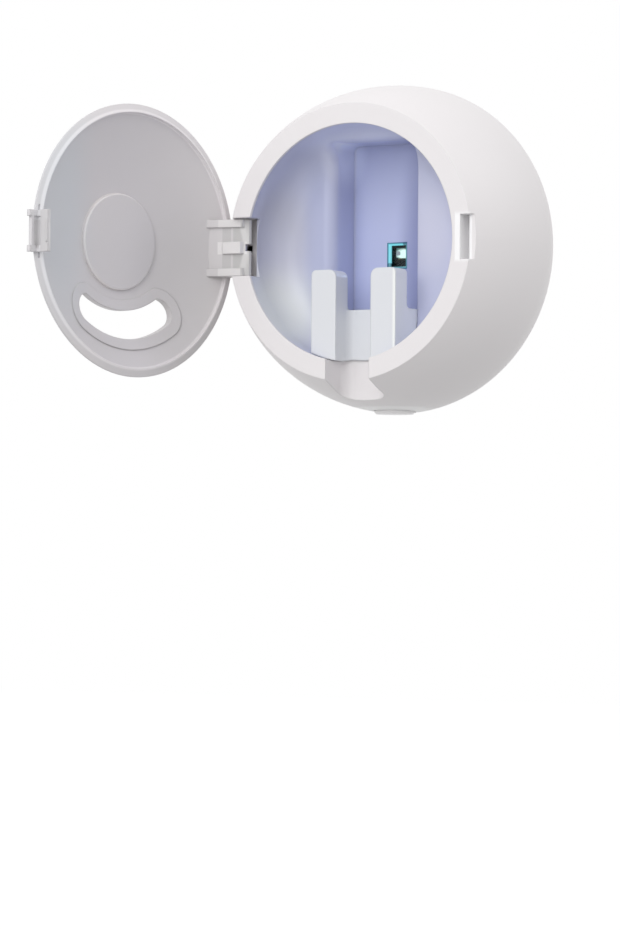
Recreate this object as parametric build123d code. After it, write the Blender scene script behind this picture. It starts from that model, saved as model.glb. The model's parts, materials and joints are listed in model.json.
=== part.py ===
from build123d import *
import os
from math import asin, cos, degrees, radians, sin, sqrt

# Lengths are in millimetres. While a piece is made, y counts back from the ring's front face,
# x is to the right seen from the front and z is up. place() then moves every piece so that
# the origin is the centre of the face that lies on the wall, with the chamber facing -Y.

# Ball shaped housing
body_r = 39.9
body_y = 25.7
front_arc = 52.9
shoulder_arc = 14.16
shoulder_turn = radians(34.6)
back_arc = 26.55
wall = 2.2
ring_inner_r = 28.4
ring_thick = 2.2
ring_edge = 0.8
split_y = 35.0
back_y = 42.8
pad_thick = 1.2
pad_r = 25.5
depth = back_y + pad_thick

# Chamber pan and the niche in its back
pan_r = 28.6
pan_y = 13.2
pan_fillet = 7.0
pan_wall = 1.2
liner_gap = 0.05
niche_half_x = 11.7
niche_bottom = -20.6
niche_top = 25.5
niche_y = 23.0
niche_corner = 1.5
niche_round = 3.0

# Notch for the brush neck
notch_half_x = 6.0
notch_y = 9.5
notch_corner = 3.0
notch_wall = 1.5

# Brush holder
holder_half_x = 11.6
prong_gap_half = 4.8
prong_front = 2.7
prong_back = 8.3
prong_top = -6.2
foot_top = -15.6
slot_back = 9.0
fit_gap = 0.12

# Lid, drawn closed and then turned open about the hinge
lid_r = 32.6
lid_gap = 0.15
lid_edge = 1.2
rim_outer = 0.85
rim_land = 30.65
lid_height = 9.5
lid_rim_in = 30.5
lid_step = 1.0
lid_hollow = 8.0
disc_r = 11.55
disc_face = 6.15
disc_gap = 0.02
magnet_seat = 7.6
open_angle = 103.0

# Hinge
hinge_x = -31.6
hinge_y = 4.2
barrel_r = 1.6
pin_r = 0.74
pin_hole_r = 0.75
barrel_bore_r = 0.8
hinge_half_z = 7.1
barrel_half_z = 6.9
hinge_floor = 6.9
hinge_wall = 1.7
hinge_slot = 0.85
rib_thick = 1.9
lug_half_z = 1.45
liner_hinge_cut = 5.0
pin_half_z = 8.3
pin_way_out = 17.0

# Latch on the right
latch_half_z = 5.3
latch_inner_x = 30.5
latch_bar_x = 32.25
latch_bar_y = 1.4
latch_floor = 4.2
tongue_x = 31.0
tongue_thick = 1.0
tongue_tip = 3.4
tongue_hook = 1.0
loop_x = 32.9
loop_thick = 0.8
loop_half_z = 4.9
window_half_z = 3.4

# Lamp in the back of the niche
lamp_x = 0.4
lamp_z = -1.6
lamp_open = (4.2, 5.2)
lamp_mouth = (5.7, 6.6)
lamp_bevel = 0.7
glass_sides = (7.6, 8.6)
glass_thick = 0.8
frame_sides = (9.4, 10.0)
frame_deep = 1.5
frame_front = (4.8, 5.8)
frame_back = (3.3, 2.7)
led_x = 0.5
led_z = -0.75
led_sides = (3.0, 2.4)
led_thick = 1.2
led_board_x = 22.0
led_board_z = 10.0
board_thick = 1.2
led_screw_x = 8.4

# Boards, battery and bosses inside
main_board_y = 33.6
board_half_x = 27.0
board_half_z = 11.5
stem_half_x = 11.5
stem_z = -28.0
housing_boss = 15.8
boss_r = 2.4
board_posts = ((-20.5, 4.0), (20.5, 4.0), (0.0, -23.5))
battery_half_x = 17.0
battery_half_z = 12.0
battery_thick = 4.0
tape_thick = 0.3
back_thick = 2.0
lip_r = 33.4
gasket_in = 34.4
gasket_out = 35.4
gasket_deep = 0.8

# Button and charging inlet on the underside
button_y = 23.0
button_r = 4.9
button_hole_r = 5.2
button_flange_r = 5.9
button_face = -40.15
button_seat = -37.6
switch_side = 6.2
switch_high = 3.0
button_board_z = -31.3
usb_y = 32.0
usb_width = 8.94
usb_high = 3.2
usb_length = 7.3
usb_mouth = -36.6

# Small fasteners and what they hold
screw_hole_r = 0.85
screw_shank_r = 0.8
screw_head_r = 1.7
screw_head = 1.2
liner_screw_r = 32.0
liner_ear_y = 10.0
liner_ear = 1.2
liner_ear_r = 2.3
liner_post_r = 2.1
button_post_r = 1.9
post_r = 2.0
led_post_r = 1.7
screw_way_r = 1.0
housing_screw_seat = 39.8
button_screw_x = 10.5
holder_screw_x = 7.5
holder_screw_z = -18.0

# Magnet behind the lid's disc
magnet_x = 7.2
magnet_z = -4.4
magnet_r = 3.0
magnet_thick = 1.0

# Worked out from the values above
back_inner = back_y - back_thick
battery_back = back_inner - tape_thick
window_y = niche_y + pan_wall
fill_y = pan_y - 4
fill_back = pan_y + niche_round + 0.8
fill_top = niche_top + 2.2
frame_y = window_y + glass_thick
led_board_y = frame_y + frame_deep
plunger_end = button_board_z - 3.6
window_x = tongue_x + tongue_thick
os.makedirs("parts", exist_ok=True)


def place(name, solid):
    export_step(Pos(0, -depth, 0) * solid, f"parts/{name}.step")


def block(x0, x1, y0, y1, z0, z1):
    size = Box(x1 - x0, y1 - y0, z1 - z0)
    return Pos((x0 + x1) / 2, (y0 + y1) / 2, (z0 + z1) / 2) * size


def rod_y(radius, x, z, y0, y1):
    return Pos(x, (y0 + y1) / 2, z) * Rot(90, 0, 0) * Cylinder(radius, y1 - y0)


def box_y(sides, y0, y1, x, z):
    wide, high = sides
    return block(x - wide / 2, x + wide / 2, y0, y1, z - high / 2, z + high / 2)


# An opening in front of the lamp, which gets narrower towards the back
def tapered_y(front_sides, back_sides, y0, y1, back_at=None):
    front = Plane.XZ.offset(-y0) * Pos(lamp_x, lamp_z) * Rectangle(*front_sides)
    back = Plane.XZ.offset(-y1) * Pos(*(back_at or (lamp_x, lamp_z))) * Rectangle(*back_sides)
    return loft([front.face(), back.face()])


def rod_z(radius, x, y, z0, z1):
    return Pos(x, y, (z0 + z1) / 2) * Cylinder(radius, z1 - z0)


# A flat polygon in x and y, drawn out between two heights
def slab(points, z0, z1):
    face = make_face(Polyline(*points, points[0]).edges())
    return Pos(0, 0, z0) * extrude(face, z1 - z0)


def rounded_block(x0, x1, y0, y1, z0, z1, radius, axis):
    solid = block(x0, x1, y0, y1, z0, z1)
    return fillet(solid.edges().filter_by(axis), radius)


# Radius of the ball at y, less inset: a long front arc, a tight shoulder and a flatter back
def ball_radius(inset, y):
    step = y - body_y
    if step < 0:
        return body_r - front_arc + sqrt((front_arc - inset) ** 2 - step**2)
    turn_y = (shoulder_arc - inset) * sin(shoulder_turn)
    if step < turn_y:
        return body_r - shoulder_arc + sqrt((shoulder_arc - inset) ** 2 - step**2)
    shift = shoulder_arc - back_arc
    centre_r = body_r - shoulder_arc + shift * cos(shoulder_turn)
    centre_y = shift * sin(shoulder_turn)
    return centre_r + sqrt((back_arc - inset) ** 2 - (step - centre_y) ** 2)


# The ball turned about the y axis, cut off at y0 and y1
def ball(inset, y0, y1):
    turn_y = body_y + (shoulder_arc - inset) * sin(shoulder_turn)
    stops = [y0] + [y for y in (body_y, turn_y) if y0 < y < y1] + [y1]
    arcs = []
    for low, high in zip(stops, stops[1:]):
        points = [(ball_radius(inset, y), y) for y in (low, (low + high) / 2, high)]
        arcs.append(ThreePointArc(*points))
    rest = Polyline(points[-1], (0, y1), (0, y0), (ball_radius(inset, y0), y0))
    return revolve(make_face([*arcs, *rest.edges()]), Axis.Y)


# The chamber as a filled pan, larger by grow on its sides and back
def pan(grow, y0):
    radius = pan_r + grow
    back = pan_y + grow
    corner = pan_fillet + grow
    side = Line((radius, y0), (radius, back - corner))
    turn = RadiusArc((radius, back - corner), (radius - corner, back), -corner)
    rest = Polyline((radius - corner, back), (0, back), (0, y0), (radius, y0))
    return revolve(make_face([side, turn, *rest.edges()]), Axis.Y)


# Outside of the liner's pan: a turned wall with its back edge cut at 45 degrees
def pan_outside(grow, y0):
    radius = pan_r + pan_wall + grow
    back = pan_y + pan_wall + grow
    reach = pan_r + pan_y - pan_fillet * (2 - sqrt(2)) + (pan_wall + grow) * sqrt(2)
    turn = (radius, reach - radius)
    edge = Polyline((radius, y0), turn, (reach - back, back), (0, back), (0, y0), (radius, y0))
    return revolve(make_face(edge.edges()), Axis.Y)


def niche(grow, y0):
    x = niche_half_x + grow
    z0 = niche_bottom - grow
    z1 = niche_top + grow
    return rounded_block(-x, x, y0, niche_y + grow, z0, z1, niche_corner, Axis.Y)


# Room for the brush neck, open to the front and below
def notch(half_x, back, corner):
    solid = block(-half_x, half_x, -5, back, -body_r - 5, -20)
    edges = solid.edges().filter_by(Axis.Z).group_by(Axis.Y)[-1]
    return fillet(edges, corner)


# A pan head screw with a cross recess, head up and its seat at the origin
def screw(length):
    arm = 1.0
    slot = 0.2
    deep = screw_head - 0.6
    cross = block(-arm, arm, -slot, slot, deep, 2) + block(-slot, slot, -arm, arm, deep, 2)
    return rod_z(screw_head_r, 0, 0, 0, screw_head) + rod_z(screw_shank_r, 0, 0, -length, 0) - cross


# Screws driven in from the back, with their seats at one y
def screws_from_back(spots, seat_y, length):
    one = Rot(-90, 0, 0) * screw(length)
    return Compound([Pos(x, seat_y, z) * one for x, z in spots])


def around(radius, angles):
    return [(radius * cos(radians(a)), radius * sin(radians(a))) for a in angles]


liner_screw_at = around(liner_screw_r, (50, 130, 230, 310))
housing_screw_at = [(x, z) for x in (-housing_boss, housing_boss) for z in (-housing_boss, housing_boss)]
holder_screw_at = [(-holder_screw_x, holder_screw_z), (holder_screw_x, holder_screw_z)]


def front_housing():
    outer = ball(0, 0, split_y)
    shell = outer - ball(wall, ring_thick, split_y + 1)
    shell -= rod_y(ring_inner_r, 0, 0, -1, 20)
    # rebate behind the ring's inner edge, where the liner's rim goes
    shell -= rod_y(pan_r + pan_wall + liner_gap, 0, 0, ring_edge, ring_thick + 0.1)
    # behind the ring: hinge block, latch pocket, liner posts
    side = hinge_half_z + hinge_wall
    carriers = block(-40, -28, 0, hinge_floor + hinge_wall, -side, side)
    carriers += block(28, 40, 0, latch_floor + 1.0, -latch_half_z - 1.0, latch_half_z + 1.0)
    for x, z in liner_screw_at:
        carriers += rod_y(liner_post_r, x, z, 1.0, liner_ear_y)
    # posts for the button's board and ribs beside the charging inlet
    for x in (-button_screw_x, button_screw_x):
        carriers += rod_z(button_post_r, x, button_y, -body_r, button_board_z)
    for x in (-1, 1):
        rib_x = x * (usb_width / 2 + 0.8)
        carriers += block(rib_x - 0.5, rib_x + 0.5, usb_y - 1.6, split_y - 1.8, -body_r, -34.2)
    shell += (carriers & outer) - pan_outside(liner_gap, -1)
    # walls and floor of the neck notch, which reach in to the brush holder
    trough = notch(notch_half_x + notch_wall, notch_y + notch_wall, notch_corner + 1)
    trough = trough & block(-20, 20, 0, 20, -60, -25) & outer
    shell += trough - pan(liner_gap, -1)
    shell -= notch(notch_half_x, notch_y, notch_corner)
    # hinge recess, the hole in its floor and the pin's holes
    shell -= block(-45, -24, -1, hinge_floor, -hinge_half_z, hinge_half_z)
    shell -= block(-33.4, -31.0, hinge_floor - 1, hinge_floor + 3, -hinge_slot, hinge_slot)
    shell -= rod_z(pin_hole_r, hinge_x, hinge_y, -pin_way_out, pin_half_z)
    # latch recess: a lowered bar along the outside, and behind it the slot for the lid's tongue
    shell -= block(latch_inner_x, 45, -1, latch_bar_y, -latch_half_z, latch_half_z)
    shell -= block(latch_inner_x, latch_bar_x, -1, latch_floor, -latch_half_z, latch_half_z)
    hook_y = latch_bar_y + 0.9
    shell -= block(latch_inner_x, latch_bar_x + 0.5, hook_y, latch_floor, -window_half_z, window_half_z)
    # underside: button hole with a flat seat inside, and the charging inlet
    shell -= rod_z(button_hole_r, 0, button_y, -50, -30)
    shell -= rod_z(button_flange_r + 0.4, 0, button_y, button_seat, -25)
    half = usb_width / 2 + 0.2
    inlet = rounded_block(-half, half, usb_y - 1.8, usb_y + 1.8, -50, -30, 1.7, Axis.Z)
    shell -= inlet
    for x, z in liner_screw_at:
        shell -= rod_y(screw_hole_r, x, z, 4.0, 40)
    for x in (-button_screw_x, button_screw_x):
        shell -= rod_z(screw_hole_r, x, button_y, button_board_z - 4.5, -20)
    return shell


# The room inside the liner, with a round edge on the left of the niche and above it
def chamber():
    space = pan(0, -1) + niche(0, 2)
    left = space.edges().filter_by(
        lambda e: abs(e.center().X + niche_half_x) < 0.01 and e.bounding_box().max.Y < niche_y - 2
    )
    rounded = fillet(left, niche_round) & block(-40, niche_half_x, -1, 40, foot_top, 40)
    return space + rounded


def chamber_liner():
    body = pan_outside(0, ring_edge + liner_gap)
    room = pan_outside(0, ring_edge + liner_gap) + block(-40, 40, pan_y - 4, 40, -40, 40)
    body += niche(pan_wall, pan_y - 5) & room
    # thicker walls behind the niche's round edges
    side = block(-niche_half_x - niche_round - 0.8, -niche_half_x, fill_y, fill_back, niche_bottom, fill_top)
    above = block(-niche_half_x, niche_half_x, fill_y, fill_back - 1.5, niche_top, fill_top)
    body += (side + above) & room
    # ears that the liner's screws hold, and bosses for the boards and the rear housing
    for x, z in liner_screw_at:
        for share in (1.0, 0.93):
            body += rod_y(liner_ear_r, x * share, z * share, liner_ear_y, liner_ear_y + liner_ear)
    for x, z in housing_screw_at:
        body += rod_y(boss_r, x, z, pan_y, split_y - 0.1)
    for x, z in board_posts:
        body += rod_y(post_r, x, z, pan_y - 1.5, main_board_y)
    for x in (-led_screw_x, led_screw_x):
        body += rod_y(led_post_r, x, lamp_z, niche_y + 0.5, led_board_y)
    body -= chamber()
    # way through for the housing's notch walls, and a cut with a sloping back for the hinge
    gap = notch_wall + liner_gap
    body -= notch(notch_half_x + gap, notch_y + gap, notch_corner + 1)
    cut = ((-45, -1), (-20, -1), (-20, liner_hinge_cut), (-pan_r, liner_hinge_cut))
    body -= slab(cut + ((-30.5, hinge_floor + 1.2), (-45, hinge_floor + 1.2)), -hinge_half_z, hinge_half_z)
    body -= box_y(lamp_open, niche_y - 3, niche_y + 7, lamp_x, lamp_z)
    body -= tapered_y(lamp_mouth, lamp_open, niche_y, niche_y + lamp_bevel)
    for x, z in liner_screw_at:
        body -= rod_y(screw_way_r, x, z, liner_ear_y - 1, liner_ear_y + 3)
    for x, z in housing_screw_at:
        body -= rod_y(screw_hole_r, x, z, split_y - 9, split_y + 1)
    for x, z in board_posts:
        body -= rod_y(screw_hole_r, x, z, main_board_y - 6, main_board_y + 1)
    for x in (-led_screw_x, led_screw_x):
        body -= rod_y(screw_hole_r, x, lamp_z, led_board_y - 3, led_board_y + 1)
    for x, z in holder_screw_at:
        body -= rod_y(screw_way_r, x, z, niche_y - 1, niche_y + 3)
    return body


def brush_holder():
    outer_corner = 1.2
    inner_corner = 1.9
    base = block(-holder_half_x, holder_half_x, prong_front, pan_y - fit_gap, -40, foot_top)
    base = base & pan(-fit_gap, -1)
    foot_low = niche_bottom + fit_gap
    foot = block(-holder_half_x, holder_half_x, prong_back, niche_y - fit_gap, foot_low, foot_top)
    foot = fillet(foot.edges().filter_by(Axis.Y).group_by(Axis.Z)[0], niche_corner)
    body = base + foot
    for side in (-1, 1):
        inner = side * prong_gap_half
        outer = side * holder_half_x
        prong = block(min(inner, outer), max(inner, outer), prong_front, prong_back, foot_top - 2, prong_top)
        top = prong.edges().filter_by(Axis.Y).group_by(Axis.Z)[-1].sort_by(Axis.X)
        prong = fillet(top[0], outer_corner if side < 0 else inner_corner)
        top = prong.edges().filter_by(Axis.Y).group_by(Axis.Z)[-1].sort_by(Axis.X)
        prong = fillet(top[-1], inner_corner if side < 0 else outer_corner)
        body += prong
    web = body.edges().filter_by(Axis.X).filter_by(
        lambda e: abs(e.center().Y - prong_back) < 0.01 and abs(e.center().Z - foot_top) < 0.01
    )
    body = fillet(web, 1.2)
    slot = block(-prong_gap_half, prong_gap_half, -1, slot_back, -40, 5)
    slot = fillet(slot.edges().filter_by(Axis.Z).group_by(Axis.Y)[-1], 2.0)
    body -= slot
    # channel in the right prong for the strip that carries the lid sensor, open below
    body -= block(6.3, 10.1, 3.7, 6.1, -40, -8.2)
    for x, z in holder_screw_at:
        body -= rod_y(screw_hole_r, x, z, niche_y - 7, niche_y + 1)
    return body


# A dished cap between the plane at edge_y and a sphere whose top is at top_y, in front of it
def cap(edge_r, edge_y, top_y):
    rise = edge_y - top_y
    sphere_r = (edge_r**2 + rise**2) / (2 * rise)
    half_turn = asin(edge_r / sphere_r) / 2
    middle = (sphere_r * sin(half_turn), top_y + sphere_r * (1 - cos(half_turn)))
    dome = ThreePointArc((edge_r, edge_y), middle, (0, top_y))
    rest = Polyline((0, top_y), (0, edge_y), (edge_r, edge_y))
    return revolve(make_face([dome, *rest.edges()]), Axis.Y)


# The crescent vent in the lid, as a face in the plane of the lid
def crescent():
    tip = (11.5, -13.0)
    turn = (15.0, -16.2)
    low = (13.6, -19.4)
    upper = ThreePointArc((-tip[0], tip[1]), (0, -16.5), tip)
    right = ThreePointArc(tip, turn, low)
    lower = ThreePointArc(low, (0, -23.4), (-low[0], low[1]))
    left = ThreePointArc((-low[0], low[1]), (-turn[0], turn[1]), (-tip[0], tip[1]))
    return make_face([upper, right, lower, left])


# The lid's hinge: a flat leaf with a barrel in its end, two ribs and a lug on it
def hinge_arms():
    leaf = (
        (-26.2, -3.1), (-30.9, 6.5), (-31.6, 6.6), (-33.15, 4.6),
        (-33.2, 3.6), (-32.8, 0), (-32, -1.4), (-29.5, -2.4),
    )
    rib = (
        (-25.5, -3.3), (-25.6, -2.8), (-29.6, 5.35), (-30.6, 5.5),
        (-31.6, 4.2), (-32.8, 0), (-30, -2.4),
    )
    lug = ((-27.5, 0.6), (-29.1, 5.1), (-30.3, 5.3), (-31.6, 4.2), (-30.5, -0.5))
    slot = ((-33.9, 2.3), (-29.6, 6.45), (-31.3, 8.2), (-35.6, 4.0))
    arms = slab(leaf, -barrel_half_z, barrel_half_z)
    arms += slab(rib, barrel_half_z - rib_thick, barrel_half_z)
    arms += slab(rib, -barrel_half_z, rib_thick - barrel_half_z)
    arms += slab(lug, -lug_half_z, lug_half_z)
    arms += rod_z(barrel_r, hinge_x, hinge_y, -barrel_half_z, barrel_half_z)
    return arms - slab(slot, -hinge_slot, hinge_slot)


# The latch: a tongue that springs into the ring's slot, and a grip outside it
def latch_loop():
    low = -1.15
    high = -lid_gap
    loop = block(loop_x, loop_x + loop_thick, low, high, -loop_half_z, loop_half_z)
    for z in (-1, 1):
        middle = z * (window_half_z + loop_half_z) / 2
        ear = (loop_half_z - window_half_z) / 2
        loop += block(tongue_x, loop_x + loop_thick + 0.6, low, high, middle - ear, middle + ear)
    loop += block(tongue_x, window_x, low - 0.2, tongue_tip, -loop_half_z, loop_half_z)
    loop += block(window_x - 0.1, window_x + 0.2, tongue_tip - 0.6, tongue_tip, -2.6, 2.6)
    return loop


def lid_hollow_space():
    return cap(lid_rim_in, -lid_step, -lid_hollow) + rod_y(lid_rim_in, 0, 0, -lid_step, 1)


def lid_closed():
    rim = Polyline(
        (0, -lid_edge), (lid_r, -lid_edge), (lid_r, -rim_outer), (rim_land, -lid_gap),
        (0, -lid_gap), (0, -lid_edge),
    )
    body = cap(lid_r, -lid_edge, -lid_height) + revolve(make_face(rim.edges()), Axis.Y)
    hollow = lid_hollow_space()
    body -= hollow
    # raised collar round the vent
    vent = Plane.XZ * crescent()
    wide = Plane.XZ * offset(crescent(), amount=2.6)
    collar_rise = 0.35
    body += extrude(wide, amount=20, both=True) & (hollow - Pos(0, collar_rise, 0) * hollow)
    body -= rod_y(magnet_r + 0.03, magnet_x, magnet_z, -magnet_seat, -4)
    body += hinge_arms() + latch_loop()
    body -= extrude(vent, amount=20, both=True)
    # window between grip and tongue, which also undercuts the tongue, and reliefs at its ends
    body -= block(window_x - 0.4, loop_x, -5, tongue_hook, -window_half_z, window_half_z)
    for z in (-1, 1):
        ends = sorted((z * loop_half_z, z * (loop_half_z + 1.3)))
        body -= block(tongue_x - 0.15, tongue_x + 0.25, -0.8, 1, *ends)
    body -= rod_z(barrel_bore_r, hinge_x, hinge_y, -10, 10)
    return body


def lid_disc_closed():
    body = chamfer(rod_y(disc_r, 0, 0, -lid_hollow, -disc_face).edges().group_by(Axis.Y)[-1], 0.25)
    body = body & Pos(0, disc_gap, 0) * lid_hollow_space()
    return body - rod_y(magnet_r + 0.03, magnet_x, magnet_z, -lid_hollow - 1, magnet_thick - magnet_seat + 0.05)


def lid_magnet_closed():
    return rod_y(magnet_r, magnet_x, magnet_z, 0.01 - magnet_seat, magnet_thick - magnet_seat)


def turned_open(solid):
    return Pos(hinge_x, hinge_y, 0) * Rot(0, 0, -open_angle) * Pos(-hinge_x, -hinge_y, 0) * solid


def hinge_pin():
    return rod_z(pin_r, hinge_x, hinge_y, -pin_half_z, pin_half_z - 0.05)


def rear_housing():
    body = ball(0, split_y, back_y) - ball(wall, split_y, back_inner)
    lip = rod_y(lip_r, 0, 0, split_y - 1.6, split_y + 1.6) - rod_y(lip_r - 1.2, 0, 0, 30, 40)
    body += lip - block(-7, 7, 30, split_y + 0.1, -40, -25)
    body -= rod_y(gasket_out, 0, 0, split_y - 1, split_y + gasket_deep) - rod_y(gasket_in, 0, 0, 30, 40)
    for x, z in housing_screw_at:
        body += rod_y(3.0, x, z, split_y, back_inner + 0.5)
    for x, z in housing_screw_at:
        body -= rod_y(2.0, x, z, housing_screw_seat, back_y + 1)
        body -= rod_y(1.0, x, z, split_y - 1, back_y)
    return body


def rear_gasket():
    ring = rod_y(gasket_out, 0, 0, split_y, split_y + gasket_deep)
    return ring - rod_y(gasket_in, 0, 0, 30, 40)


def adhesive_pad():
    pad = rod_y(pad_r, 0, 0, back_y, depth)
    return chamfer(pad.edges().group_by(Axis.Y)[0], 0.3)


def lamp_window():
    glass = box_y(glass_sides, window_y, frame_y, lamp_x, lamp_z)
    return chamfer(glass.edges().filter_by(Axis.Y), 0.4)


def lamp_frame():
    frame = box_y(frame_sides, frame_y, led_board_y, lamp_x, lamp_z)
    return frame - tapered_y(frame_front, frame_back, frame_y, led_board_y, (led_x, led_z))


def uv_led():
    front = led_board_y - led_thick
    body = box_y(led_sides, front, led_board_y, led_x, led_z)
    body -= rod_y(0.95, led_x, led_z, front - 1, front + 0.5)
    return body + box_y((1.0, 1.0), front + 0.2, front + 0.6, led_x, led_z)


def led_board():
    x = led_board_x / 2
    z = led_board_z / 2
    body = rounded_block(-x, x, led_board_y, led_board_y + board_thick, lamp_z - z, lamp_z + z, 1.5, Axis.Y)
    for spot in (-led_screw_x, led_screw_x):
        body -= rod_y(0.9, spot, lamp_z, led_board_y - 1, led_board_y + 2)
    return body


def lamp_header():
    return block(-2.6, 2.6, led_board_y + board_thick, main_board_y, lamp_z - 4.2, lamp_z - 1.7)


# A bar across the middle, a stem down to the charging inlet and a narrow foot under the socket
def main_board():
    back = main_board_y + board_thick
    body = block(-board_half_x, board_half_x, main_board_y, back, -board_half_z, board_half_z)
    body += block(-stem_half_x, stem_half_x, main_board_y, back, stem_z, -board_half_z)
    body += block(-6, 6, main_board_y, back, -33.2, stem_z)
    for x, z in board_posts:
        body -= rod_y(screw_way_r, x, z, main_board_y - 1, back + 1)
    return body


def usb_socket():
    half = usb_width / 2
    y0 = main_board_y - usb_high
    body = rounded_block(-half, half, y0, main_board_y, usb_mouth, usb_mouth + usb_length, 1.5, Axis.Z)
    wall_thick = 0.3
    cavity = rounded_block(
        wall_thick - half, half - wall_thick, y0 + wall_thick, main_board_y - wall_thick,
        usb_mouth - 1, usb_mouth + 6.2, 1.25, Axis.Z,
    )
    middle = main_board_y - usb_high / 2
    return body - cavity + block(-3.35, 3.35, middle - 0.35, middle + 0.35, usb_mouth + 0.9, usb_mouth + 6.4)


def chip(x, z, wide, tall, thick, legs):
    front = main_board_y - thick
    body = block(x - wide / 2, x + wide / 2, front, main_board_y - 0.1, z - tall / 2, z + tall / 2)
    reach = wide / 2 + 0.9
    for n in range(legs):
        leg_z = z + (n - (legs - 1) / 2) * tall / legs
        body += block(x - reach, x + reach, main_board_y - 0.2, main_board_y, leg_z - 0.2, leg_z + 0.2)
    return body


def control_chip():
    return chip(-17.5, -4.5, 3.9, 4.9, 1.6, 4)


def charge_chip():
    return chip(7.0, -19.0, 2.4, 3.0, 1.2, 3)


def inductor():
    x = 19.5
    z = -6.0
    core = rounded_block(x - 2.5, x + 2.5, main_board_y - 2.2, main_board_y, z - 2.5, z + 2.5, 1.0, Axis.Y)
    return core - (rod_y(2.2, x, z, main_board_y - 1.7, main_board_y - 0.5) - rod_y(1.4, x, z, 20, 40))


def capacitors():
    spots = ((-7.5, -24.5), (-18.5, 10.0), (18.5, 10.0), (4.0, -26.0))
    size = (1.6, 1.3, 0.9)
    return Compound([
        Pos(x, main_board_y - size[1] / 2, z) * Box(*size) for x, z in spots
    ])


def battery():
    y0 = battery_back - battery_thick
    cell = block(-battery_half_x, battery_half_x, y0, battery_back, -battery_half_z, battery_half_z)
    cell = fillet(cell.edges().filter_by(Axis.Z), 1.6)
    seam = block(-11, 11, y0 + 1.6, y0 + 2.8, battery_half_z - 0.5, battery_half_z + 1.5)
    return cell + seam


def battery_tape():
    return block(-12, 12, battery_back, back_inner, -9, 9)


def battery_leads():
    thick = 0.2
    y = battery_back - battery_thick + 2.2
    low = battery_half_z + 1.5
    top = low + 3.0
    tabs = []
    for x in (-3.0, 3.0):
        tab = block(x - 1, x + 1, y - thick / 2, y + thick / 2, low, top)
        tab += block(x - 1, x + 1, main_board_y + board_thick, y + thick / 2, top - thick, top)
        tabs.append(tab)
    return Compound(tabs)


def sensor_strip():
    return block(6.7, 9.7, 5.2, 5.8, -26.5, -8.6)


def lid_sensor():
    return block(7.0, 9.4, 4.1, 5.2, -11.4, -9.2)


def button_cap():
    body = rod_z(button_r, 0, button_y, button_face, button_seat + 0.2)
    body = chamfer(body.edges().group_by(Axis.Z)[0], 0.4)
    body += rod_z(button_flange_r, 0, button_y, button_seat + 0.1, button_seat + 0.9)
    return body + rod_z(1.6, 0, button_y, button_seat + 0.5, plunger_end)


def switch_plunger():
    return rod_z(1.65, 0, button_y, plunger_end, plunger_end + 1.9)


def tact_switch():
    half = switch_side / 2
    low = button_board_z - switch_high
    body = rounded_block(-half, half, button_y - half, button_y + half, low, button_board_z, 0.5, Axis.Z)
    for x in (-1, 1):
        for y in (-2.2, 2.2):
            leg = x * (half + 0.4)
            body += block(
                min(leg, x * (half - 0.3)), max(leg, x * (half - 0.3)),
                button_y + y - 0.4, button_y + y + 0.4, button_board_z - 0.3, button_board_z,
            )
    return body - rod_z(1.75, 0, button_y, low - 1, low + 2.0)


def button_board():
    body = rounded_block(-13, 13, button_y - 4, button_y + 4, button_board_z, button_board_z + 1, 1.5, Axis.Z)
    for x in (-button_screw_x, button_screw_x):
        body -= rod_z(0.9, x, button_y, button_board_z - 1, button_board_z + 2)
    return body


def button_board_screws():
    return Compound([
        Pos(x, button_y, button_board_z + 1) * screw(4.6) for x in (-button_screw_x, button_screw_x)
    ])


def button_flex():
    top = button_board_z + 1
    flex = block(6.6, 9.4, button_y + 2.2, main_board_y, top, top + 0.3)
    return flex + block(6.6, 9.4, main_board_y - 0.3, main_board_y, top, top + 6.0)


def liner_screws():
    return screws_from_back(liner_screw_at, liner_ear_y + liner_ear, 6.4)


def holder_screws():
    return screws_from_back(holder_screw_at, niche_y + pan_wall, 6.6)


def led_screws():
    return screws_from_back([(-led_screw_x, lamp_z), (led_screw_x, lamp_z)], led_board_y + board_thick, 3.8)


def main_board_screws():
    return screws_from_back(board_posts, main_board_y + board_thick, 6.0)


def housing_screws():
    return screws_from_back(housing_screw_at, housing_screw_seat, 12.0)


if __name__ == "__main__":
    fixed = (
        front_housing, chamber_liner, brush_holder, rear_housing, rear_gasket, adhesive_pad, hinge_pin,
        lamp_window, lamp_frame, uv_led, led_board, lamp_header, main_board, usb_socket, control_chip,
        charge_chip, inductor, capacitors, battery, battery_tape, battery_leads, sensor_strip, lid_sensor,
        button_cap, switch_plunger, tact_switch, button_board, button_board_screws, button_flex,
        liner_screws, holder_screws, led_screws, main_board_screws, housing_screws,
    )
    for piece in fixed:
        place(piece.__name__, piece())
    place("lid", turned_open(lid_closed()))
    place("lid_disc", turned_open(lid_disc_closed()))
    place("lid_magnet", turned_open(lid_magnet_closed()))
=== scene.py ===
import bpy
import json
from math import cos, radians, sin
from mathutils import Matrix, Vector

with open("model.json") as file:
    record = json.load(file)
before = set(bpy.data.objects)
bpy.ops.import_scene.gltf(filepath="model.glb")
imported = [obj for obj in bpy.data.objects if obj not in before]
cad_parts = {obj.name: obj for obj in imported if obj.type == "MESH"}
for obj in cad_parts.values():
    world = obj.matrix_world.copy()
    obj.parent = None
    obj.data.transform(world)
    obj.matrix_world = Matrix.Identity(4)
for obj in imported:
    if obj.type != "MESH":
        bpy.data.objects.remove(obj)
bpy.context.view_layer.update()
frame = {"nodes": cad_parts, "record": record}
nodes = frame["nodes"]
mm = 0.001
ringFront = -44 * mm  # y of the ring's front face
white = (1, 1, 1, 1)
black = (0, 0, 0, 1)


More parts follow.
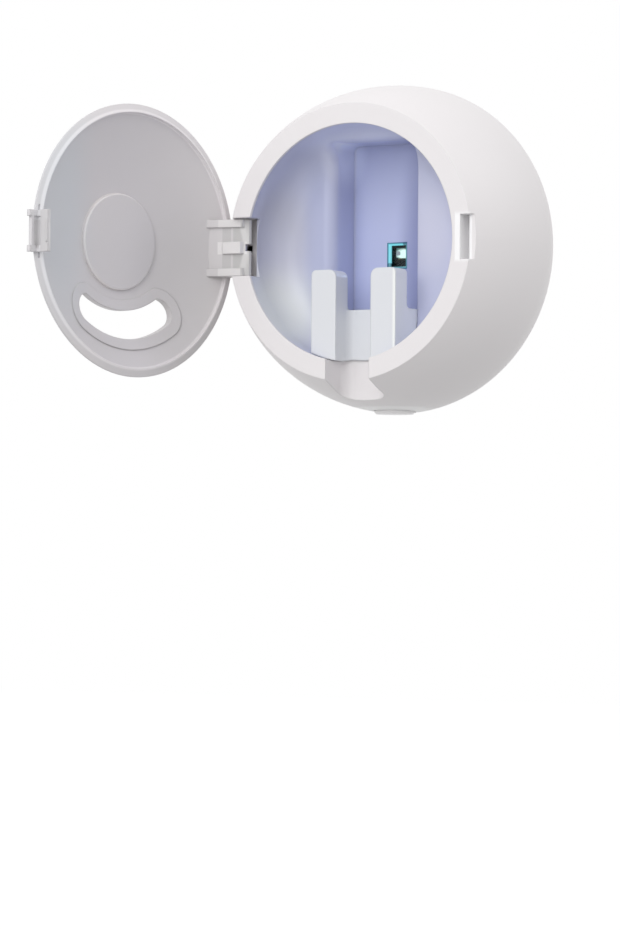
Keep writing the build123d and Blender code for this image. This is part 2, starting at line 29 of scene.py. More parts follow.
# Camera: the ring's centre lands on centrePixel of the 620 x 930 picture
cameraView = {
    "azimuth": 31.07,
    "pitch": -1.73,
    "roll": 0.4,
    "distance": 900.0,
    "pixelsPerMm": 4.2,
    "centrePixel": (347.65, 241.77),
    "frameSize": (620, 930),
    "sensorWidth": 36.0,
    "clip": (0.05, 20.0),
}


def makeCamera(view):
    azimuth = radians(view["azimuth"])
    pitch = radians(view["pitch"])
    roll = radians(view["roll"])
    towards = Vector((sin(azimuth) * cos(pitch), -cos(azimuth) * cos(pitch), sin(pitch)))
    right = Vector((cos(azimuth), sin(azimuth), 0.0))
    up = towards.cross(right)
    rolledRight = right * cos(roll) + up * sin(roll)
    rolledUp = up * cos(roll) - right * sin(roll)
    wide, high = view["frameSize"]
    focal = view["pixelsPerMm"] * view["distance"]
    across = (view["centrePixel"][0] - wide / 2) / view["pixelsPerMm"] * mm
    upward = (high / 2 - view["centrePixel"][1]) / view["pixelsPerMm"] * mm
    place = Vector((0, ringFront, 0)) + towards * view["distance"] * mm
    place -= rolledRight * across + rolledUp * upward
    data = bpy.data.cameras.new("photoCamera")
    data.sensor_fit = "HORIZONTAL"
    data.sensor_width = view["sensorWidth"]
    data.lens = focal / wide * view["sensorWidth"]
    data.clip_start, data.clip_end = view["clip"]
    camera = bpy.data.objects.new("photoCamera", data)
    turn = Matrix((rolledRight, rolledUp, towards)).transposed()
    camera.matrix_world = Matrix.Translation(place) @ turn.to_4x4()
    bpy.context.scene.collection.objects.link(camera)
    bpy.context.scene.camera = camera


makeCamera(cameraView)
print("camera placed")


# Small helpers for node trees
def newGroup(name, inputs, outputs):
    group = bpy.data.node_groups.new(name, "ShaderNodeTree")
    for label, kind, value in inputs:
        socket = group.interface.new_socket(label, in_out="INPUT", socket_type="NodeSocket" + kind)
        if value is not None:
            socket.default_value = value
    for label, kind in outputs:
        group.interface.new_socket(label, in_out="OUTPUT", socket_type="NodeSocket" + kind)
    return group, group.nodes.new("NodeGroupInput"), group.nodes.new("NodeGroupOutput")


def feed(tree, socket, value):
    if isinstance(value, bpy.types.NodeSocket):
        tree.links.new(value, socket)
    elif value is not None:
        socket.default_value = value


def addMath(tree, operation, first, second):
    node = tree.nodes.new("ShaderNodeMath")
    node.operation = operation
    feed(tree, node.inputs[0], first)
    feed(tree, node.inputs[1], second)
    return node.outputs[0]


def addVector(tree, operation, first, second=None):
    node = tree.nodes.new("ShaderNodeVectorMath")
    node.operation = operation
    feed(tree, node.inputs[0], first)
    feed(tree, node.inputs["Scale"] if operation == "SCALE" else node.inputs[1], second)
    return node.outputs["Value"] if operation in ("LENGTH", "DOT_PRODUCT") else node.outputs[0]


def addMix(tree, factor, first, second, blend="MIX"):  # sockets 6, 7 and 2 are the node's colours
    node = tree.nodes.new("ShaderNodeMix")
    node.data_type = "RGBA"
    node.blend_type = blend
    feed(tree, node.inputs[0], factor)
    feed(tree, node.inputs[6], first)
    feed(tree, node.inputs[7], second)
    return node.outputs[2]


def addNoise(tree, vector, scale, detail, roughness=0.5):  # values stay round 0.5
    noise = tree.nodes.new("ShaderNodeTexNoise")
    noise.inputs["Detail"].default_value = detail
    noise.inputs["Roughness"].default_value = roughness
    feed(tree, noise.inputs["Vector"], vector)
    feed(tree, noise.inputs["Scale"], scale)
    return noise.outputs["Fac"]


def addSteps(tree, value, low, high):  # 0 below low, 1 above high, smooth between
    node = tree.nodes.new("ShaderNodeMapRange")
    node.interpolation_type = "SMOOTHSTEP"
    feed(tree, node.inputs["Value"], value)
    feed(tree, node.inputs["From Min"], low)
    feed(tree, node.inputs["From Max"], high)
    return node.outputs["Result"]


def objectCoords(tree):
    return tree.nodes.new("ShaderNodeTexCoord").outputs["Object"]


def faceNormal(tree):
    return tree.nodes.new("ShaderNodeTexCoord").outputs["Normal"]


def addOneMinus(tree, value):
    return addMath(tree, "SUBTRACT", 1.0, value)


# Moulded plastic: faint cloudiness in the colour, fine spark-eroded grain and handling marks in the gloss
mouldedDetail = {
    "clouds": {"scale": 42.0, "detail": 3.0},
    "marks": {"scale": 210.0, "detail": 5.0, "roughness": 0.62},
    "grainDetail": 2.0,
}


def makeMouldedGroup(detail):
    group, start, end = newGroup(
        "mouldedPlastic",
        [
            ("Colour", "Color", (0.8, 0.8, 0.8, 1)),
            ("Cloudiness", "Float", 0.02),
            ("Roughness", "Float", 0.35),
            ("Roughness Variation", "Float", 0.06),
            ("Grain Scale", "Float", 5000.0),
            ("Grain Height", "Float", 0.15),
        ],
        [("Colour", "Color"), ("Roughness", "Float"), ("Height", "Float")],
    )
    given = start.outputs
    coords = objectCoords(group)
    centred = addMath(group, "SUBTRACT", addNoise(group, coords, **detail["clouds"]), 0.5)
    level = addMath(group, "ADD", addMath(group, "MULTIPLY", centred, given["Cloudiness"]), 1.0)
    feed(group, end.inputs["Colour"], addVector(group, "SCALE", given["Colour"], level))
    marks = addMath(group, "SUBTRACT", addNoise(group, coords, **detail["marks"]), 0.5)
    shift = addMath(group, "MULTIPLY", marks, given["Roughness Variation"])
    feed(group, end.inputs["Roughness"], addMath(group, "ADD", given["Roughness"], shift))
    grain = addNoise(group, coords, given["Grain Scale"], detail["grainDetail"])
    feed(group, end.inputs["Height"], addMath(group, "MULTIPLY", grain, given["Grain Height"]))
    return group


# Small moulding radius on every edge, as a normal
def makeEdgeGroup(samples):
    group, start, end = newGroup("softEdge", [("Radius", "Float", 0.0003)], [("Normal", "Vector")])
    bevel = group.nodes.new("ShaderNodeBevel")
    bevel.samples = samples
    feed(group, bevel.inputs["Radius"], start.outputs["Radius"])
    feed(group, end.inputs["Normal"], bevel.outputs["Normal"])
    return group


# Painted shade: creases between two walls are darkened by an occlusion mask
def makeCreaseGroup(samples):
    group, start, end = newGroup(
        "creaseShade",
        [("Colour", "Color", white), ("Reach", "Float", 0.001), ("Darkness", "Float", 0.3)],
        [("Colour", "Color")],
    )
    crease = group.nodes.new("ShaderNodeAmbientOcclusion")
    crease.samples = samples
    feed(group, crease.inputs["Distance"], start.outputs["Reach"])
    closed = addOneMinus(group, crease.outputs["AO"])
    level = addOneMinus(group, addMath(group, "MULTIPLY", closed, start.outputs["Darkness"]))
    feed(group, end.inputs["Colour"], addVector(group, "SCALE", start.outputs["Colour"], level))
    return group


# Masks in the piece's own coordinates: a rounded spot and a box-shaped one, both with soft edges
def makeSpotGroup(name, isBox):
    group, start, end = newGroup(
        name,
        [
            ("Vector", "Vector", None),
            ("Centre", "Vector", (0, 0, 0)),
            ("Reach", "Vector", (0.01, 0.01, 0.01)),
            ("Softness", "Float", 0.3),
        ],
        [("Mask", "Float")],
    )
    given = start.outputs
    away = addVector(group, "SUBTRACT", given["Vector"], given["Centre"])
    share = addVector(group, "DIVIDE", away, given["Reach"])
    if isBox:
        parts = group.nodes.new("ShaderNodeSeparateXYZ")
        feed(group, parts.inputs[0], addVector(group, "ABSOLUTE", share))
        widest = addMath(group, "MAXIMUM", parts.outputs[0], parts.outputs[1])
        distance = addMath(group, "MAXIMUM", widest, parts.outputs[2])
    else:
        distance = addVector(group, "LENGTH", share)
    inner = addOneMinus(group, given["Softness"])
    outer = addMath(group, "ADD", 1.0, given["Softness"])
    outside = addSteps(group, distance, inner, outer)
    feed(group, end.inputs["Mask"], addOneMinus(group, outside))
    return group


# Rolled or turned metal: fine streaks along one axis, with slightly uneven shine
metalDetail = {
    "streaks": {"detail": 3.0, "roughness": 0.6},
    "patina": {"scale": 260.0, "detail": 4.0},
    "patinaContrast": 0.16,
    "unevenShine": 0.3,
}


def makeMetalGroup(detail):
    group, start, end = newGroup(
        "workedMetal",
        [
            ("Colour", "Color", (0.6, 0.6, 0.6, 1)),
            ("Roughness", "Float", 0.3),
            ("Streak Stretch", "Vector", (1, 1, 30)),
            ("Streak Scale", "Float", 900.0),
            ("Streak Depth", "Float", 0.3),
        ],
        [("Colour", "Color"), ("Roughness", "Float"), ("Height", "Float")],
    )
    given = start.outputs
    coords = objectCoords(group)
    stretched = addVector(group, "MULTIPLY", coords, given["Streak Stretch"])
    streaks = addNoise(group, stretched, given["Streak Scale"], **detail["streaks"])
    patina = addNoise(group, coords, **detail["patina"])
    contrast = detail["patinaContrast"]
    level = addMath(group, "ADD", addMath(group, "MULTIPLY", patina, contrast), 1.0 - contrast / 2)
    feed(group, end.inputs["Colour"], addVector(group, "SCALE", given["Colour"], level))
    uneven = addMath(group, "MULTIPLY", addMath(group, "SUBTRACT", streaks, 0.5), detail["unevenShine"])
    feed(group, end.inputs["Roughness"], addMath(group, "ADD", given["Roughness"], uneven))
    feed(group, end.inputs["Height"], addMath(group, "MULTIPLY", streaks, given["Streak Depth"]))
    return group


# Circuit board: copper tracks under a green coat, and bare round pads
boardPattern = {
    "waves": 22.0,
    "trackEdge": (0.55, 0.7),
    "padPitch": 0.8,
    "padEdge": (0.14, 0.17),
}


def makeBoardGroup(pattern):
    group, start, end = newGroup(
        "boardCoat",
        [
            ("Coat", "Color", (0.02, 0.13, 0.05, 1)),
            ("Track", "Color", (0.05, 0.25, 0.09, 1)),
            ("Pad", "Color", (0.75, 0.6, 0.3, 1)),
            ("Pitch", "Float", 420.0),
        ],
        [("Colour", "Color"), ("Metal", "Float"), ("Height", "Float")],
    )
    given = start.outputs
    coords = objectCoords(group)
    cells = group.nodes.new("ShaderNodeTexVoronoi")
    cells.distance = "MANHATTAN"
    cells.feature = "F1"
    feed(group, cells.inputs["Vector"], coords)
    feed(group, cells.inputs["Scale"], given["Pitch"])
    phase = addMath(group, "MULTIPLY", cells.outputs["Distance"], pattern["waves"])
    track = addSteps(group, addMath(group, "SINE", phase, 0.0), *pattern["trackEdge"])
    dots = group.nodes.new("ShaderNodeTexVoronoi")
    feed(group, dots.inputs["Vector"], coords)
    feed(group, dots.inputs["Scale"], addMath(group, "MULTIPLY", given["Pitch"], pattern["padPitch"]))
    pad = addOneMinus(group, addSteps(group, dots.outputs["Distance"], *pattern["padEdge"]))
    coated = addMix(group, track, given["Coat"], given["Track"])
    feed(group, end.inputs["Colour"], addMix(group, pad, coated, given["Pad"]))
    feed(group, end.inputs["Metal"], pad)
    feed(group, end.inputs["Height"], addMath(group, "MAXIMUM", track, pad))
    return group


# Foam and rubber: small open cells
foamWallEdge = (0.02, 0.3)


def makeFoamGroup(wallEdge):
    group, start, end = newGroup(
        "openCells",
        [
            ("Colour", "Color", (0.6, 0.6, 0.6, 1)),
            ("Cell Scale", "Float", 1800.0),
            ("Shade", "Float", 0.4),
        ],
        [("Colour", "Color"), ("Height", "Float")],
    )
    cells = group.nodes.new("ShaderNodeTexVoronoi")
    cells.feature = "DISTANCE_TO_EDGE"
    feed(group, cells.inputs["Vector"], objectCoords(group))
    feed(group, cells.inputs["Scale"], start.outputs["Cell Scale"])
    opening = addSteps(group, cells.outputs["Distance"], *wallEdge)
    level = addOneMinus(group, addMath(group, "MULTIPLY", opening, start.outputs["Shade"]))
    feed(group, end.inputs["Colour"], addVector(group, "SCALE", start.outputs["Colour"], level))
    feed(group, end.inputs["Height"], addOneMinus(group, opening))
    return group


mouldedGroup = makeMouldedGroup(mouldedDetail)
edgeGroup = makeEdgeGroup(samples=8)
creaseGroup = makeCreaseGroup(samples=6)
spotGroups = {"round": makeSpotGroup("roundSpot", False), "box": makeSpotGroup("boxSpot", True)}
metalGroup = makeMetalGroup(metalDetail)
boardGroup = makeBoardGroup(boardPattern)
foamGroup = makeFoamGroup(foamWallEdge)
print("node groups built")


def placeGroup(tree, group, **values):
    node = tree.nodes.new("ShaderNodeGroup")
    node.node_tree = group
    for label, value in values.items():
        feed(tree, node.inputs[label.replace("_", " ")], value)
    return node


def newMaterial(name):
    material = bpy.data.materials.new(name)
    material.use_nodes = True
    return material, material.node_tree, material.node_tree.nodes["Principled BSDF"]


def placeBump(tree, shader, height, depth, edge):
    soft = placeGroup(tree, edgeGroup, Radius=edge * mm)
    bump = tree.nodes.new("ShaderNodeBump")
    bump.inputs["Strength"].default_value = 1.0
    bump.inputs["Distance"].default_value = depth * mm
    feed(tree, bump.inputs["Height"], height)
    feed(tree, bump.inputs["Normal"], soft.outputs["Normal"])
    feed(tree, shader.inputs["Normal"], bump.outputs["Normal"])


# Places on the object are given in mm: x across, y back from the ring's front face, z up
def inFrame(point):
    return (point[0] * mm, point[1] * mm + ringFront, point[2] * mm)


# The lid's places are given for the closed lid, but at rest it stands opened by this many degrees
lidHinge = {"x": -31.6, "y": 4.2, "opening": 103.0}


def lidCoords(tree):
    turn = Matrix.Rotation(radians(lidHinge["opening"]), 3, "Z")
    hinge = Vector(inFrame((lidHinge["x"], lidHinge["y"], 0)))
    mapping = tree.nodes.new("ShaderNodeMapping")
    mapping.inputs["Rotation"].default_value = (0, 0, radians(lidHinge["opening"]))
    mapping.inputs["Location"].default_value = hinge - turn @ hinge
    feed(tree, mapping.inputs["Vector"], objectCoords(tree))
    return mapping.outputs["Vector"]


# Spots of painted light and shade, or of glow: middle and half sizes in mm, then softness, colour and way
# of blending
def roundSpot(at, reach, soft, colour, blend="MULTIPLY"):
    return {"kind": "round", "at": at, "reach": reach, "soft": soft, "colour": colour, "blend": blend}


def boxSpot(at, reach, soft, colour, blend="MULTIPLY"):
    return {"kind": "box", "at": at, "reach": reach, "soft": soft, "colour": colour, "blend": blend}


def placeSpots(tree, coords, colour, spots):
    for spot in spots:
        mask = placeGroup(
            tree,
            spotGroups[spot["kind"]],
            Vector=coords,
            Centre=inFrame(spot["at"]),
            Reach=tuple(side * mm for side in spot["reach"]),
            Softness=spot["soft"],
        ).outputs["Mask"]
        colour = addMix(tree, mask, colour, (*spot["colour"], 1), spot["blend"])
    return colour


plasticDefaults = {
    "cloudiness": 0.02,
    "roughnessVariation": 0.06,
    "grainScale": 5000.0,
    "grainHeight": 0.15,
    "grainDepth": 0.01,
    "edge": 0.3,
    "ior": 1.5,
    "creaseReach": 1.0,
    "creaseDarkness": 0.25,
    "paintedLightAndShade": (),
    "glows": (),
}


def makePlastic(name, values):
    look = {**plasticDefaults, **values}
    material, tree, shader = newMaterial(name)
    moulded = placeGroup(
        tree,
        mouldedGroup,
        Colour=(*look["colour"], 1),
        Cloudiness=look["cloudiness"],
        Roughness=look["roughness"],
        Roughness_Variation=look["roughnessVariation"],
        Grain_Scale=look["grainScale"],
        Grain_Height=look["grainHeight"],
    )
    coords = lidCoords(tree) if look.get("onLid") else objectCoords(tree)
    # Spots of painted light and shade over the moulded colour
    colour = placeSpots(tree, coords, moulded.outputs["Colour"], look["paintedLightAndShade"])
    if "outsideShadeLift" in look:  # faces that look away from the inside get none of the painted light and shade, only a lift of the darkened base colour
        plain = addMix(tree, 1.0, moulded.outputs["Colour"], (*look["outsideShadeLift"], 1), "MULTIPLY")
        facing = addVector(tree, "DOT_PRODUCT", faceNormal(tree), look["inward"])
        colour = addMix(tree, addSteps(tree, facing, *look["insideFrom"]), plain, colour)
    # Painted shade in the creases, over the colour
    crease = placeGroup(
        tree,
        creaseGroup,
        Colour=colour,
        Reach=look["creaseReach"] * mm,
        Darkness=look["creaseDarkness"],
    )
    feed(tree, shader.inputs["Base Color"], crease.outputs["Colour"])
    feed(tree, shader.inputs["Roughness"], moulded.outputs["Roughness"])
    placeBump(tree, shader, moulded.outputs["Height"], look["grainDepth"], look["edge"])
    shader.inputs["IOR"].default_value = look["ior"]
    # Glow spots: a lamp's own light, or painted lamp glow on a part that is no lamp
    if look["glows"]:
        feed(tree, shader.inputs["Emission Color"], placeSpots(tree, coords, black, look["glows"]))
        shader.inputs["Emission Strength"].default_value = look["glowStrength"]
    return material


metalDefaults = {"stretch": (1, 1, 1), "scale": 900.0, "streaks": 0.3, "depth": 0.004, "edge": 0.12}


def makeMetal(name, values):
    look = {**metalDefaults, **values}
    material, tree, shader = newMaterial(name)
    worked = placeGroup(
        tree,
        metalGroup,
        Colour=(*look["colour"], 1),
        Roughness=look["roughness"],
        Streak_Stretch=look["stretch"],
        Streak_Scale=look["scale"],
        Streak_Depth=look["streaks"],
    )
    feed(tree, shader.inputs["Base Color"], worked.outputs["Colour"])
    feed(tree, shader.inputs["Roughness"], worked.outputs["Roughness"])
    shader.inputs["Metallic"].default_value = 1.0
    placeBump(tree, shader, worked.outputs["Height"], look["depth"], look["edge"])
    return material


def makeBoard(name, look):
    material, tree, shader = newMaterial(name)
    board = placeGroup(
        tree,
        boardGroup,
        Coat=(*look["coat"], 1),
        Track=(*look["track"], 1),
        Pad=(*look["pad"], 1),
        Pitch=look["pitch"],
    )
    feed(tree, shader.inputs["Base Color"], board.outputs["Colour"])
    feed(tree, shader.inputs["Metallic"], board.outputs["Metal"])
    shader.inputs["Roughness"].default_value = look["roughness"]
    placeBump(tree, shader, board.outputs["Height"], look["trackHeight"], look["edge"])
    return material


def makeFoam(name, look):
    material, tree, shader = newMaterial(name)
    colour = (*look["colour"], 1)
    foam = placeGroup(tree, foamGroup, Colour=colour, Cell_Scale=look["scale"], Shade=look["shade"])
    feed(tree, shader.inputs["Base Color"], foam.outputs["Colour"])
    shader.inputs["Roughness"].default_value = look["roughness"]
    placeBump(tree, shader, foam.outputs["Height"], look["depth"], look["edge"])
    return material


def makeGlass(name, look):
    material, tree, shader = newMaterial(name)
    shader.inputs["Base Color"].default_value = (*look["colour"], 1)
    shader.inputs["Transmission Weight"].default_value = 1.0
    shader.inputs["IOR"].default_value = look["ior"]
    smears = addNoise(tree, objectCoords(tree), **look["smears"])
    feed(tree, shader.inputs["Roughness"], addMath(tree, "MULTIPLY", smears, 2 * look["roughness"]))
    return material


materials = {}

housingLook = {
    "colour": (0.82, 0.793, 0.802),
    "roughness": 0.42,
    "grainDepth": 0.012,
    "edge": 0.35,
    "creaseDarkness": 0.1,
    "paintedLightAndShade": (
        boxSpot((31, 2.2, 0), (1.9, 3.6, 5.6), 0.1, (1.17, 1.2, 1.2)),  # painted light on the catch slot's shaded walls
        boxSpot((0, 22, -40), (9, 9, 1.4), 0.15, (1.15, 1.18, 1.17)),  # painted light on the underside round the button
    ),
}
materials["housing_white"] = makePlastic("housing_white", housingLook)

# The liner's violet is painted lamp light: its base colour and spots stand in for the lamp's light and the
# chamber's shade, deeper in the niche, paler low down
lampMouth = (0.4, 23.62, -1.6)  # middle of the bevel round the window
linerLook = {
    "colour": (0.56, 0.58, 0.74),
    "roughness": 0.38,
    "edge": 0.4,
    "creaseDarkness": 0.12,
    "paintedLightAndShade": (
        roundSpot((-27, 11, 3), (8, 9, 12), 0.5, (0.94, 0.92, 0.86)),  # painted shade on the pan, left of the niche
        roundSpot((-16, 13, 3), (3.6, 5, 18), 0.5, (0.86, 0.88, 0.94)),  # painted shade on a band beside the niche
        roundSpot((-24, 6.5, -16), (11, 11, 10), 0.6, (1.3, 1.29, 1.02)),  # painted light on the pan, lower left
        roundSpot((-4, 9, 28), (18, 9, 5), 0.5, (1.3, 1.31, 1.28)),  # painted light on the pan's top
        roundSpot((-12, 18.5, 24), (3.5, 6, 7), 0.6, (1.5, 1.48, 1.32)),  # painted light in the niche's upper left corner
        roundSpot((15.7, 13.2, 3), (5, 5, 9), 0.6, (1.1, 1.08, 1.04)),  # painted light on the panel right of the niche
        boxSpot((0, 21.5, 2), (11.6, 6, 24), 0.08, (0.94, 0.98, 1.09)),  # painted violet light on the niche's back wall
        roundSpot((10, 23, -4), (7.5, 8, 28), 0.45, (0.55, 0.56, 0.67)),  # painted shade in the niche's right part
        boxSpot(lampMouth, (2.95, 0.56, 3.4), 0.02, (0.05, 0.18, 0.3), "MIX"),  # painted lamp light: a dark teal line round the bevel's outer edge
        boxSpot(lampMouth, (2.5, 0.56, 2.95), 0.05, (0.2, 0.5, 0.55), "MIX"),  # painted cyan lamp light on the bevel
    ),
    "glows": (
        boxSpot((-0.2, 23.62, -0.9), (2, 0.56, 2.35), 0.1, (0.2, 0.72, 0.78), "MIX"),  # painted lamp glow on the bevel, top and left
    ),
    "glowStrength": 0.6,
}
materials["liner_plastic"] = makePlastic("liner_plastic", linerLook)

holderLook = {
    "colour": (0.75, 0.765, 0.8),
    "roughness": 0.34,
    "edge": 0.5,
    "creaseDarkness": 0.15,
    "paintedLightAndShade": (
        boxSpot((12.6, 6.5, -18), (1.6, 9, 12), 0.3, (1.26, 1.26, 1.18)),  # painted light on the right side of the right prong
    ),
}
materials["holder_plastic"] = makePlastic("holder_plastic", holderLook)

# Lid: painted light and shade on its inner side make the dish greyer than its rim, hinge ribs and latch;
# 400 mm reaches right through it
lidLook = {
    # Painted shade: the lid's base is a darker white than the housing's, and the outside factor lifts its
    # outer faces back
    "colour": (0.71, 0.682, 0.697),
    "roughness": 0.4,
    "edge": 0.4,
    "onLid": True,
    "inward": (0.974, -0.225, 0),  # the way the dish faces at rest
    "insideFrom": (-0.5, -0.3),
    "outsideShadeLift": (1.155, 1.163, 1.15),
    "creaseDarkness": 0.1,
    "paintedLightAndShade": (
        roundSpot((0.3, 0, 0.1), (31.2, 400, 31.1), 0.008, (1.2, 1.2, 1.2)),  # painted highlight on the rim's inner edge
        roundSpot((0, 0, 0), (30.2, 400, 30.2), 0.006, (0.8, 0.8, 0.8)),  # painted shade on the dish
        roundSpot((22, 0, 4), (10, 400, 22), 0.6, (0.95, 1.01, 1.03)),  # painted bluish light on the dish, latch side
        roundSpot((-20, 0, -14), (14, 400, 22), 0.6, (0.88, 0.88, 0.87)),  # painted shade on the dish, low on the hinge side
        roundSpot((0.12, 0, 0.06), (11.68, 400, 11.68), 0.008, (1.3, 1.3, 1.28)),  # painted highlight on the disc's edge
        roundSpot((0, 0, 0), (11.35, 400, 11.35), 0.015, (0.77, 0.77, 0.782)),  # painted shade on the disc, inside its highlight
        roundSpot((-31.6, 4.2, 0), (2.9, 2.9, 60), 0.06, (0.82, 0.84, 0.82)),  # painted shade on the hinge barrel
        boxSpot((-27.9, 1.3, 0), (3.1, 1, 4.95), 0.05, (0.86, 0.87, 0.86)),  # painted shade on the web between the ribs
        boxSpot((-28.2, 2.4, 5.95), (3.4, 2.6, 0.97), 0.06, (0.735, 0.715, 0.715), "MIX"),  # painted light on the upper rib
        boxSpot((-28.2, 2.4, -5.95), (3.4, 2.6, 0.97), 0.06, (0.71, 0.69, 0.69), "MIX"),  # painted light on the lower rib
        boxSpot((-29.4, 2.6, 0), (2.4, 3.4, 1.5), 0.04, (0.77, 0.75, 0.75), "MIX"),  # painted light on the lug
        boxSpot((33, 3.5, 0), (3, 2.6, 6.2), 0.03, (0.9, 0.89, 0.88)),  # painted shade on the latch tongue
        boxSpot((31.5, -1, -0.7), (1, 1.4, 3.3), 0.08, (0.78, 0.77, 0.76)),  # painted shade in the latch window
    ),
}
materials["lid_white"] = makePlastic("lid_white", lidLook)

# Painted light: the button is a brighter white than the housing
buttonLook = {"colour": (0.93, 0.915, 0.92), "roughness": 0.36, "edge": 0.4, "creaseDarkness": 0.05}
materials["button_white"] = makePlastic("button_white", buttonLook)

lampFrameLook = {
    "colour": (0.004, 0.008, 0.012),
    "roughness": 0.3,
    "ior": 1.2,
    "edge": 0.15,
    "creaseDarkness": 0.0,
}
materials["lamp_black"] = makePlastic("lamp_black", lampFrameLook)

# The chip's lit face, with a dull round emitter near its left edge
lampChipLook = {
    "colour": (0.1, 0.2, 0.18),
    "roughness": 0.4,
    "edge": 0.1,
    "creaseDarkness": 0.0,
    "glows": (
        roundSpot((0.9, 25.5, -0.95), (1.95, 3, 1.15), 0.25, (0.85, 1, 0.93), "MIX"),  # face
        roundSpot((-0.65, 25.5, -0.8), (0.6, 3, 0.6), 0.3, (0.24, 0.19, 0.25), "MIX"),  # emitter
    ),
    "glowStrength": 0.88,
}
materials["lamp_chip"] = makePlastic("lamp_chip", lampChipLook)

chipLook = {"colour": (0.02, 0.02, 0.022), "roughness": 0.5, "grainDepth": 0.02, "edge": 0.12}
materials["chip_black"] = makePlastic("chip_black", chipLook)

ceramicLook = {"colour": (0.3, 0.18, 0.08), "roughness": 0.45, "cloudiness": 0.2, "edge": 0.1}
materials["part_ceramic"] = makePlastic("part_ceramic", ceramicLook)

flexLook = {"colour": (0.45, 0.18, 0.02), "roughness": 0.3, "cloudiness": 0.15, "edge": 0.05}
materials["flex_amber"] = makePlastic("flex_amber", flexLook)

pinLook = {"colour": (0.6, 0.6, 0.62), "roughness": 0.28, "stretch": (1, 1, 0.05), "scale": 3000.0}
materials["pin_steel"] = makeMetal("pin_steel", pinLook)

screwLook = {"colour": (0.52, 0.52, 0.54), "roughness": 0.32, "stretch": (1, 0.2, 1), "scale": 2500.0}
materials["screw_steel"] = makeMetal("screw_steel", screwLook)

inletLook = {"colour": (0.62, 0.62, 0.63), "roughness": 0.28, "stretch": (0.1, 1, 1), "scale": 1600.0}
materials["contact_steel"] = makeMetal("contact_steel", inletLook)

leadLook = {"colour": (0.6, 0.59, 0.56), "roughness": 0.34, "stretch": (0.1, 1, 1), "scale": 1500.0}
materials["lead_nickel"] = makeMetal("lead_nickel", leadLook)

cellLook = {
    "colour": (0.62, 0.62, 0.64),
    "roughness": 0.36,
    "scale": 500.0,
    "streaks": 1.0,
    "depth": 0.02,
}
materials["cell_foil"] = makeMetal("cell_foil", cellLook)

magnetLook = {"colour": (0.7, 0.7, 0.72), "roughness": 0.18, "scale": 1200.0, "streaks": 0.15}
materials["magnet_plating"] = makeMetal("magnet_plating", magnetLook)

boardLook = {
    "coat": (0.012, 0.11, 0.045),
    "track": (0.03, 0.2, 0.08),
    "pad": (0.7, 0.55, 0.28),
    "pitch": 380.0,
    "roughness": 0.33,
    "trackHeight": 0.03,
    "edge": 0.1,
}
materials["board_green"] = makeBoard("board_green", boardLook)

padLook = {
    "colour": (0.66, 0.66, 0.64),
    "scale": 1700.0,
    "shade": 0.45,
    "roughness": 0.9,
    "depth": 0.15,
    "edge": 0.25,
}
materials["pad_foam"] = makeFoam("pad_foam", padLook)

sealLook = {
    "colour": (0.07, 0.07, 0.072),
    "scale": 4200.0,
    "shade": 0.25,
    "roughness": 0.72,
    "depth": 0.02,
    "edge": 0.25,
}
materials["seal_rubber"] = makeFoam("seal_rubber", sealLook)

tapeLook = {
    "colour": (0.03, 0.03, 0.03),
    "scale": 6000.0,
    "shade": 0.3,
    "roughness": 0.8,
    "depth": 0.02,
    "edge": 0.25,
}
materials["tape_black"] = makeFoam("tape_black", tapeLook)

glassLook = {
    "colour": (0.9, 0.98, 1.0),
    "roughness": 0.03,
    "ior": 1.25,
    "smears": {"scale": 500.0, "detail": 4.0, "roughness": 0.6},
}
materials["clear_window"] = makeGlass("clear_window", glassLook)

slotOf = {entry["node"]: entry["material_slot"] for entry in frame["record"]["subparts"]}
for name, piece in nodes.items():
    piece.data.materials.clear()
    piece.data.materials.append(materials[slotOf[name]])
print("materials placed")


# Studio: pale surroundings, brighter above, a large soft light in front, a weaker one behind the right
# side, and the faint light of the object's own lamp
studio = {
    "skyLevel": 0.8,
    "groundLevel": 0.5,
    "horizonBlend": 0.15,
    "lights": [
        {"name": "keyLight", "from": (0.0, -0.9, 0.4), "size": 1.2, "power": 7.2},
        {"name": "sideLight", "from": (0.85, 0.4, 0.6), "size": 1.0, "power": 1.9},
        {
            "name": "uvGlow",
            "at": (0.4, 22.4, -1.6),
            "from": (0, 1, 0),
            "size": 0.004,
            "power": 0.0004,
            "colour": (0.5, 0.6, 1.0),
        },
    ],
    "lightDistance": 1.3,
    "floorHeight": -0.22,
    "floorSize": 6.0,
    "floorColour": 0.5,
    "floorGlow": 0.61,
    "floorRoughness": 0.9,
}


def shownDirectly(tree):  # 1 for what the camera sees, also in a mirror or through glass
    path = tree.nodes.new("ShaderNodeLightPath")
    shown = addMath(tree, "MAXIMUM", path.outputs["Is Camera Ray"], path.outputs["Is Glossy Ray"])
    return addMath(tree, "MAXIMUM", shown, path.outputs["Is Transmission Ray"])


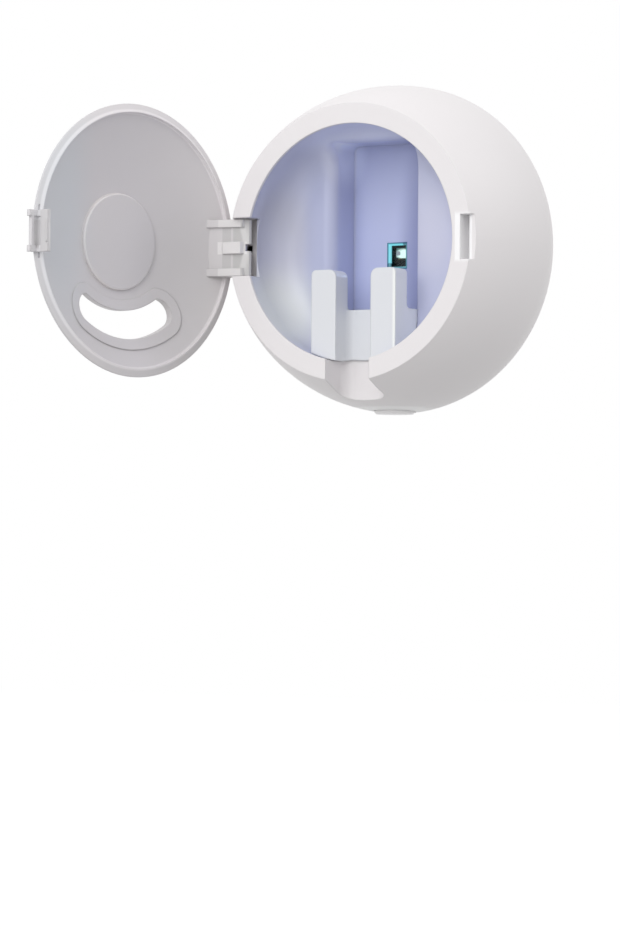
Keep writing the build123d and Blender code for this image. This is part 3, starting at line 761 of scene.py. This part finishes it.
def makeRoom(values):
    scene = bpy.context.scene
    scene.view_settings.view_transform = "Standard"
    world = bpy.data.worlds.new("paleRoom")
    scene.world = world
    world.use_nodes = True
    tree = world.node_tree
    lighting = tree.nodes["Background"]
    lighting.inputs["Color"].default_value = white
    heading = tree.nodes.new("ShaderNodeSeparateXYZ")
    feed(tree, heading.inputs[0], tree.nodes.new("ShaderNodeTexCoord").outputs["Generated"])
    level = tree.nodes.new("ShaderNodeMapRange")
    level.inputs["From Min"].default_value = -values["horizonBlend"]
    level.inputs["From Max"].default_value = values["horizonBlend"]
    level.inputs["To Min"].default_value = values["groundLevel"]
    level.inputs["To Max"].default_value = values["skyLevel"]
    feed(tree, level.inputs["Value"], heading.outputs["Z"])
    feed(tree, lighting.inputs["Strength"], level.outputs["Result"])
    backdrop = tree.nodes.new("ShaderNodeBackground")
    backdrop.inputs["Color"].default_value = white
    mix = tree.nodes.new("ShaderNodeMixShader")
    feed(tree, mix.inputs[0], shownDirectly(tree))
    feed(tree, mix.inputs[1], lighting.outputs[0])
    feed(tree, mix.inputs[2], backdrop.outputs[0])
    feed(tree, tree.nodes["World Output"].inputs["Surface"], mix.outputs[0])


def makeLights(values):
    middle = Vector((0, ringFront / 2, 0))
    for light in values["lights"]:
        data = bpy.data.lights.new(light["name"], "AREA")
        data.shape = "DISK"
        data.size = light["size"]
        data.energy = light["power"]
        data.color = light.get("colour", (1, 1, 1))
        lamp = bpy.data.objects.new(light["name"], data)
        direction = Vector(light["from"]).normalized()
        if "at" in light:
            lamp.location = inFrame(light["at"])
        else:
            lamp.location = middle + direction * values["lightDistance"]
        lamp.rotation_euler = direction.to_track_quat("Z", "Y").to_euler()
        bpy.context.scene.collection.objects.link(lamp)


def makeFloor(values):
    half = values["floorSize"] / 2
    low = values["floorHeight"]
    mesh = bpy.data.meshes.new("floor")
    corners = [(-half, -half, low), (half, -half, low), (half, half, low), (-half, half, low)]
    mesh.from_pydata(corners, [], [(0, 1, 2, 3)])
    floor = bpy.data.objects.new("floor", mesh)
    bpy.context.scene.collection.objects.link(floor)
    material, tree, shader = newMaterial("paleFloor")
    shade = values["floorColour"]
    shader.inputs["Base Color"].default_value = (shade, shade, shade, 1)
    shader.inputs["Roughness"].default_value = values["floorRoughness"]
    shader.inputs["Specular IOR Level"].default_value = 0.0
    shader.inputs["Emission Color"].default_value = white
    glow = addMath(tree, "MULTIPLY", shownDirectly(tree), values["floorGlow"])
    feed(tree, shader.inputs["Emission Strength"], glow)
    mesh.materials.append(material)


makeRoom(studio)
makeLights(studio)
makeFloor(studio)
print("studio lit")
